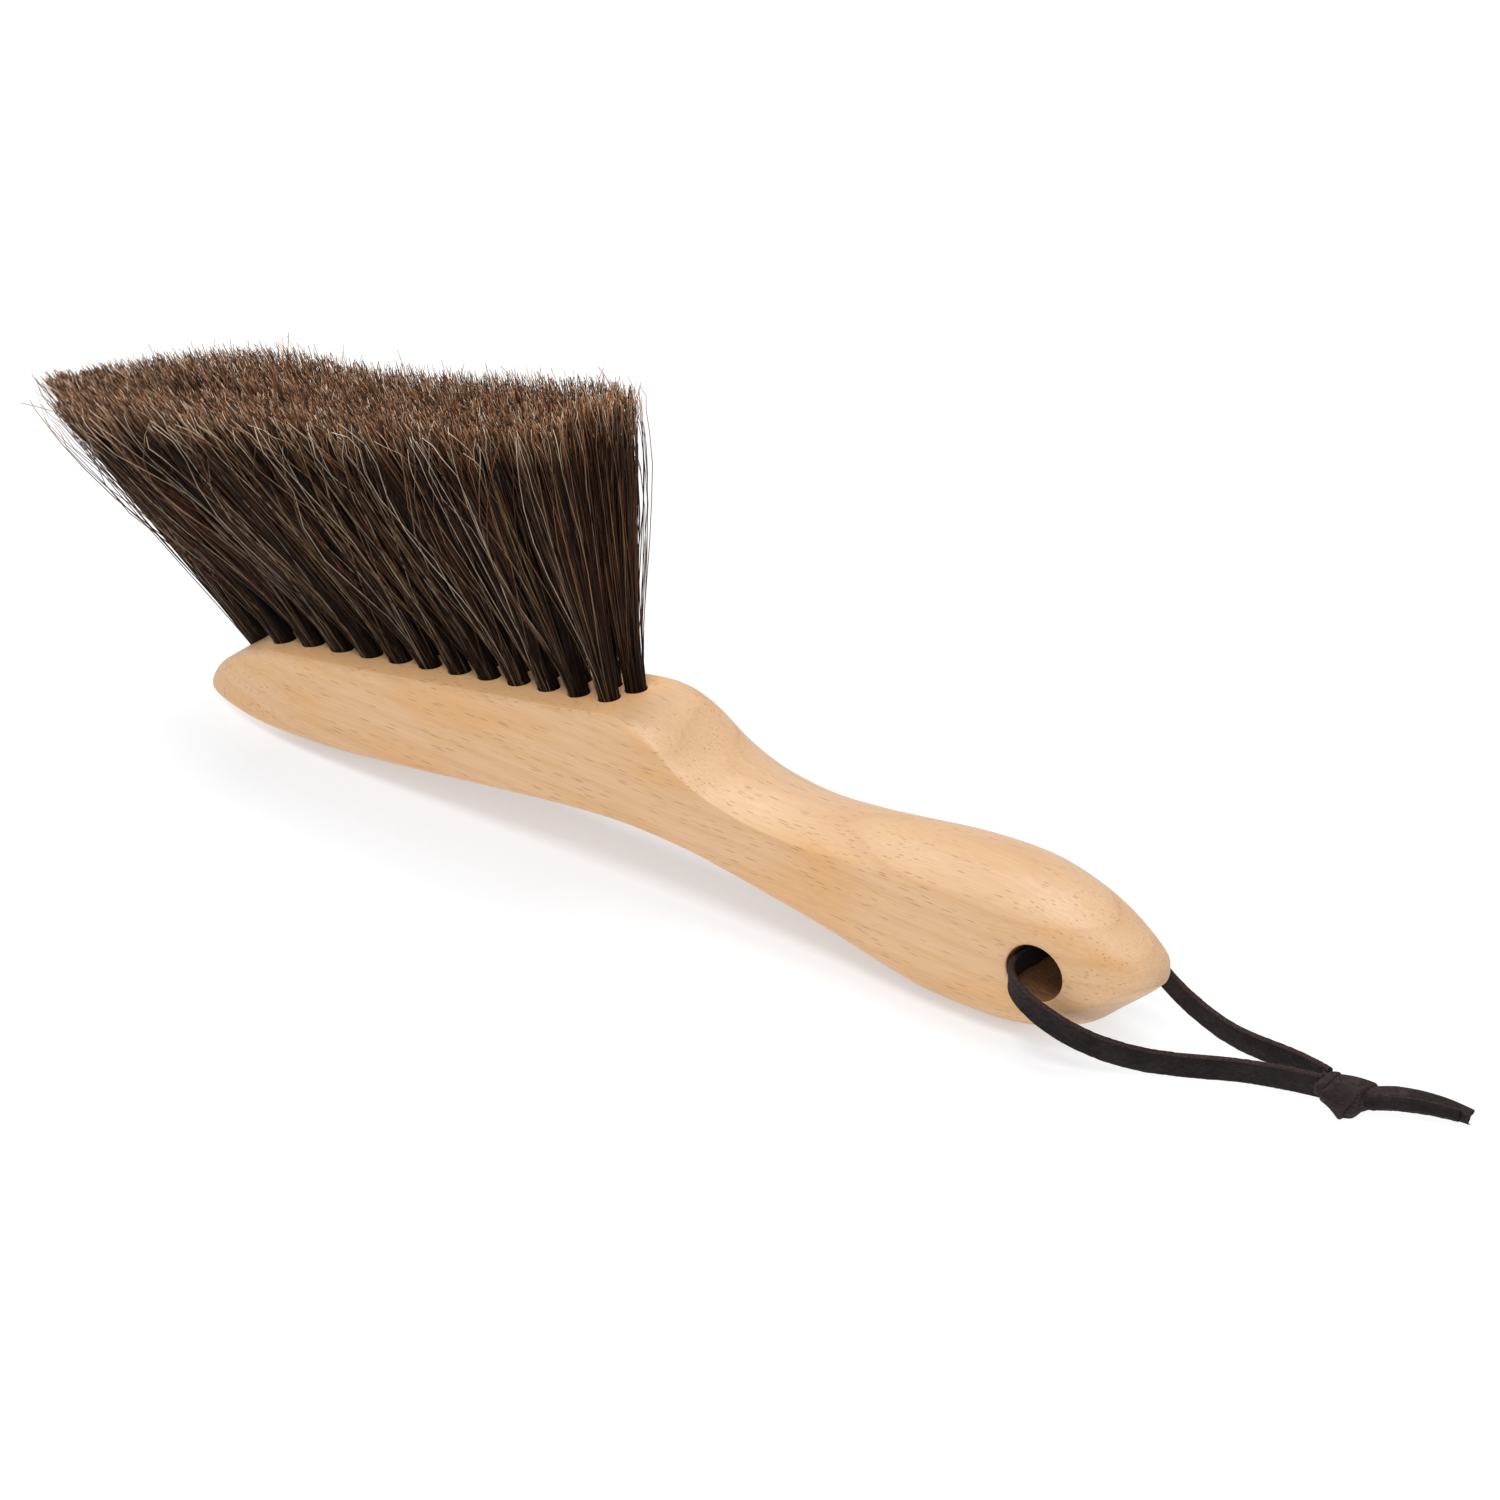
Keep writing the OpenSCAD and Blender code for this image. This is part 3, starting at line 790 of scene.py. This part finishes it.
def tuft_piece(node, x, cell_x, side, materials):
    """A tuft of separate hairs that gather in locks half way up and fray at their trimmed tips."""
    count = HAIRS + STRANDS
    foremost, at_heel = is_foremost(cell_x), is_at_heel(cell_x)
    strand = np.arange(count) >= HAIRS
    stray = strand | (rng.random(count) < STRAY_SHARE)
    u, v = rng.uniform(-1, 1, count), rng.uniform(-1, 1, count)
    # the light strands lie on the outside of the tuft, and on the viewer's side of the foremost one
    outer = -1 if foremost else side
    v = np.where(strand, outer * (1 - 0.4 * rng.random(count) ** 2), v)
    if foremost:
        u = 1 - 2 * rng.random(count) ** 1.5
    paths, across = hair_paths(x, cell_x, side, u, v, tip_shifts(stray, foremost, at_heel))
    # every hair is drawn to its lock, most of all half way up
    seeds = rng.uniform(-0.95, 0.95, (LOCKS, 2))
    centres, _ = hair_paths(x, cell_x, side, seeds[:, 0], seeds[:, 1], np.zeros((LOCKS, 3)))
    plain, _ = hair_paths(x, cell_x, side, u, v, np.zeros((count, 3)))
    own_lock = np.argmin((u[:, None] - seeds[:, 0]) ** 2 + (v[:, None] - seeds[:, 1]) ** 2, axis=1)
    gather = (0.55 * np.sin(math.pi * ALONG ** 0.85) ** 1.5 + 0.24 * ALONG)[None, :, None]
    gather = gather * np.where(stray, 0.1, rng.uniform(0.45, 1.0, count))[:, None, None]
    paths += gather * (centres[own_lock] - plain)
    sway = hair_sway(stray, strand, outer, own_lock, 0.4 if foremost or at_heel else 1.0)
    paths = paths + sway[:, :, :1] * across + sway[:, :, 1:] * Y_AXIS
    points, faces = joined(hair_tubes(paths, strand))
    slots = np.repeat(hair_tones(stray, strand, at_heel), len(faces) // count).tolist()
    piece = mesh_piece(node.replace("tuft", "hairs"), points, faces, materials, slots)
    attribute = piece.data.attributes.new("along", "FLOAT", "POINT")
    attribute.data.foreach_set("value", np.repeat(np.tile(ALONG, count), 3).astype(np.float32))
    return piece


# ---- leather -------------------------------------------------------------------

# the angle between faces, in degrees, from which an edge of a strip is drawn sharp
SHARP_STRIP = 50
# how far the edges of a strip wander, in millimetres
EDGE_WANDER = 0.12

# the two edges of each band of the knot, to the right, up and towards the viewer
COLLAR = (
    [[-3.2, 4.2, -1.0], [-3.6, 4.2, 0.0], [-5.4, 2.7, 1.1], [-5.95, 1.6, 1.3], [-5.4, 0.3, 1.2],
     [-4.8, -0.6, 0.2]],
    [[-0.6, 4.2, -1.2], [-1.0, 4.1, 0.0], [-3.0, 2.3, 1.3], [-3.8, 1.2, 1.6], [-3.8, -0.2, 1.6],
     [-3.2, -1.2, 0.9]])
FACET = (
    [[-1.2, -4.0, 0.6], [-0.2, -4.2, 1.2], [1.5, -4.1, 1.3], [3.9, -2.4, 1.0], [5.8, -1.8, 0.2]],
    [[-0.5, -0.8, 1.4], [0.8, -0.2, 1.9], [2.0, 0.2, 2.1], [3.8, 0.4, 1.5], [5.8, 0.2, 0.4]])
BROAD = (
    [[1.6, 2.6, -2.8], [0.2, 3.6, -1.6], [-1.4, 4.0, 0.0], [-3.7, 1.9, 1.7], [-4.85, 0.4, 2.0],
     [-3.5, -1.95, 1.8], [-1.8, -4.0, 1.5], [-0.6, -3.4, -0.6], [1.0, -2.2, -2.4]],
    [[6.2, 0.9, -2.6], [6.2, 1.9, -1.2], [5.7, 2.2, 0.4], [3.0, 0.85, 2.4], [1.1, -1.05, 3.0],
     [-0.3, -2.4, 2.8], [-1.0, -4.1, 1.9], [0.6, -3.6, -0.2], [2.8, -2.4, -2.0]])
# the point that those are measured from
BAND_CENTRE = KNOT_CENTRE + np.array([0.3, -1.5, 1.6]) @ VIEW_AXES


def strip_section(width, thick, curl):
    """Points (along the width, out of the face) round a strip, and which sides are cut edges.
    With curl, the strip's width is rolled through that many degrees, hollow inside."""
    flats, edges = 13, 4
    corner = 0.24 * thick
    top = [(width / 2 - corner - (width - 2 * corner) * k / (flats - 1), thick / 2)
           for k in range(flats)]
    side = [(-width / 2 - 0.06 * thick * math.sin(math.pi * (k + 1) / (edges + 1)),
             (thick / 2 - corner) * (1 - 2 * k / (edges - 1))) for k in range(edges)]
    points = top + side + [(-a, -b) for a, b in top] + [(-a, -b) for a, b in side]
    cut = ([False] * (flats - 1) + [True] * (edges + 1)) * 2
    if curl:
        bend = width / math.radians(curl)
        middle = bend * math.cos(math.radians(curl) / 4)
        points = [((bend + b) * math.sin(a / bend), (bend + b) * math.cos(a / bend) - middle)
                  for a, b in points]
    return np.array(points), cut


def strip_points(route, width, thick, seed, steps=10, curl=0.0, face=None, rough=0.05, taper=None):
    """Rings of a strip along a route, which sides are cut edges, and its middle line.
    Its width stands upright, or its face looks as nearly as it can the way of face."""
    own = np.random.default_rng(seed)
    line = spline_rows(route, steps)
    along = unit(np.gradient(line, axis=0))
    if face is None:
        upright = unit(np.array([0, 0, 1.0]) - along[:, 2:] * along)
        out = np.cross(along, upright)
    else:
        looks = np.tile(face, (len(line), 1))
        out = unit(looks - np.sum(looks * along, axis=1, keepdims=True) * along)
        upright = np.cross(out, along)
    section, cut = strip_section(width, thick, curl)
    scale = np.ones(len(line))
    if taper is not None:
        scale = spline_rows(np.array(taper)[:, None], steps)[:, 0]
    # each edge wanders by itself, and its cut is rough
    waves = np.cumsum(own.normal(0, 1, (len(line), 2)), axis=0)
    waves = (waves - waves.mean(0)) / (np.abs(waves).max(0) + 1e-9) * EDGE_WANDER
    at_edge = np.abs(section[:, :1]) > width * 0.44
    rings = []
    for j in range(len(line)):
        shape = section * [scale[j], 1.0]
        shape[:, 0] += np.where(section[:, 0] > 0, waves[j, 0], waves[j, 1]) * np.sign(section[:, 0])
        shape += own.normal(0, rough * 0.5, shape.shape) * at_edge
        rings.append(line[j] + shape[:, :1] * upright[j] + shape[:, 1:] * out[j])
    return np.array(rings), cut, line


def ragged(rings, amount, seed):
    """A strip's rings with an uneven end: the last ring's points stand back by different amounts."""
    own = np.random.default_rng(seed)
    along = unit(rings[-1].mean(0) - rings[-2].mean(0))
    torn = own.uniform(-1, 0.35, len(rings[-1]))
    torn = (torn + np.roll(torn, 1) + np.roll(torn, -1)) / 3
    rings[-1] = rings[-1] + (amount * torn)[:, None] * along
    return rings


def strip_piece(name, strips, materials):
    """One mesh of one or more strips, with their cut edges and ends in the second slot."""
    points, faces = joined([rings for rings, _ in strips])
    slots = []
    for rings, cut in strips:
        slots += [int(c) for c in cut] * (len(rings) - 1) + [1, 1]
    return mesh_piece(name, points, faces, materials, slots, SHARP_STRIP)


def band_rings(left, right, thick, steps=6):
    """Rings of a band of the knot between two edges, and which of its sides are cut edges."""
    left, right = (spline_rows(np.array(edge) @ VIEW_AXES, steps) for edge in (left, right))
    middle = (left + right) / 2
    width = np.linalg.norm(right - left, axis=1)
    side = unit(right - left)
    out = unit(np.cross(side, unit(np.gradient(middle, axis=0))))
    if np.sum(out * middle) < 0:
        out = -out
    rings = []
    for j in range(len(middle)):
        section, cut = strip_section(width[j], thick, 0)
        crown = 0.3 * (1 - (2 * section[:, :1] / width[j]) ** 2) - thick / 2
        rings.append(BAND_CENTRE + middle[j] + section[:, :1] * side[j]
                     + (section[:, 1:] + crown) * out[j])
    return np.array(rings), cut


def knot_piece(materials):
    """An overhand knot pulled tight: a broad slanting turn over a collar and a facet."""
    # the broad turn comes again at the back, half a turn round the thong
    behind = [np.array(edge[2:7]) * [1, -1, -1] for edge in BROAD]
    bands = ((COLLAR, STRIP_T), (FACET, 1.2), (BROAD, STRIP_T), (behind, STRIP_T))
    strips = [band_rings(*edges, thick) for edges, thick in bands]
    # the two legs run on through the middle
    for k, (y, z) in enumerate([(-1.2, -0.9), (0.5, -0.2)]):
        core = [KNOT_CENTRE + [dx, y * (1 - 0.1 * dx / 6), z] for dx in (-5.0, -3, 0, 3, 5.0)]
        strips.append(strip_points(core, 3.2, 2.4, 40 + k, steps=5)[:2])
    knot = strip_piece("knot_wraps", strips, materials)
    fix_normals(knot)
    return knot


# ---- light ---------------------------------------------------------------------

WARM_LIGHT = (1.0, 0.985, 0.96)
SOFT_LIGHT = (1.0, 0.99, 0.98)
LIT_POINT = Vector((0.02, 0, 0.03))
# name, place, diameter, power, colour
LIGHTS = [
    ("key", (-0.45, 0.42, 1.75), 0.9, 12.5, WARM_LIGHT),
    ("front", (0.1, -0.62, 1.75), 0.8, 13.0, WARM_LIGHT),
    ("fill", (0.75, -1.2, 1.4), 1.2, 4.5, SOFT_LIGHT),
    ("low_fill", (-0.5, -1.6, 0.9), 1.2, 2.5, SOFT_LIGHT),
]
SURROUNDINGS = 0.40
FLOOR_HALF = 4000


def area_light(name, place, size, power, colour):
    """A round lamp that points at the brush."""
    data = bpy.data.lights.new(name, "AREA")
    data.shape, data.size, data.energy, data.color = "DISK", size, power, colour
    lamp = bpy.data.objects.new(name, data)
    lamp.location = place
    lamp.rotation_euler = (LIT_POINT - Vector(place)).to_track_quat("-Z", "Y").to_euler()
    bpy.context.scene.collection.objects.link(lamp)


def make_studio():
    """The floor, the even white surroundings and the lamps."""
    corners = [[FLOOR_HALF * x, FLOOR_HALF * y, 0] for x, y in ((-1, -1), (1, -1), (1, 1), (-1, 1))]
    floor = mesh_piece("floor", corners, [[0, 1, 2, 3]], [paper()])
    world = bpy.data.worlds.new("studio")
    world.use_nodes = True
    background = world.node_tree.nodes["Background"]
    background.inputs["Color"].default_value = (1.0, 1.0, 1.0, 1)
    background.inputs["Strength"].default_value = SURROUNDINGS
    bpy.context.scene.world = world
    bpy.context.scene.view_settings.view_transform = "Standard"
    for light in LIGHTS:
        area_light(*light)


# ---- building ------------------------------------------------------------------

make_camera()

raw = leather_edge()
thong_materials = [leather("leather_dark", 0.8), raw]
# the knot and the upper tail take a copy of the leather about twice as pale as the straps': painted
# light for the light they catch
knot_materials = [leather("leather_painted_lit", 1.7), raw]

knot = knot_piece(knot_materials)
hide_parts("thong_knot")
back_rings, back_cut, _ = strip_points(BACK_TAIL, 4.7, 1.1, 5, curl=150, face=(0.1, -0.35, 0.94),
                                       rough=0.06, taper=[0.7, 0.85, 1, 1, 0.95, 0.8])
back_tail = strip_piece("tail_upper", [(ragged(back_rings, 1.4, 6), back_cut)], knot_materials)
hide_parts("thong_tail_back")
front_rings, front_cut, _ = strip_points(FRONT_TAIL, 3.5, 1.1, 7, curl=100, face=(0.2, -0.97, 0.1),
                                         rough=0.06, taper=[0.7, 0.8, 0.85, 0.85, 0.8, 0.7])
front_tail = strip_piece("tail_lower", [(ragged(front_rings, 1.2, 8), front_cut)], thong_materials)
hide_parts("thong_tail_front")

for name, node, route, mouth, length, seed in (
        ("thong_strap_front", "thong_front", FRONT_LEG, -0.0105, FRONT_LENGTH, 11),
        ("thong_strap_back", "thong_back", BACK_LEG, 0.0105, BACK_LENGTH, 12)):
    rings, cut, line = strip_points(route, STRIP_W, STRIP_T, seed, steps=9)
    strap = strip_piece(name, [(rings, cut)], thong_materials)
    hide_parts(node)
    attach(strap, "thong")
for piece in (knot, back_tail, front_tail):
    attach(piece, "thong")

stock = stock_piece(beech(), bore_wall())
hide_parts("stock")
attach(stock, "brush")

tones = [hair(name, root, middle, tip) for name, _, root, middle, tip in HAIR_TONES]
for node, x, cell_x, side in TUFTS:
    tuft = tuft_piece(node, x, cell_x, side, tones)
    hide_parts(node)
    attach(tuft, "brush")

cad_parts["anchors"].material_slots[0].material = steel()

make_studio()
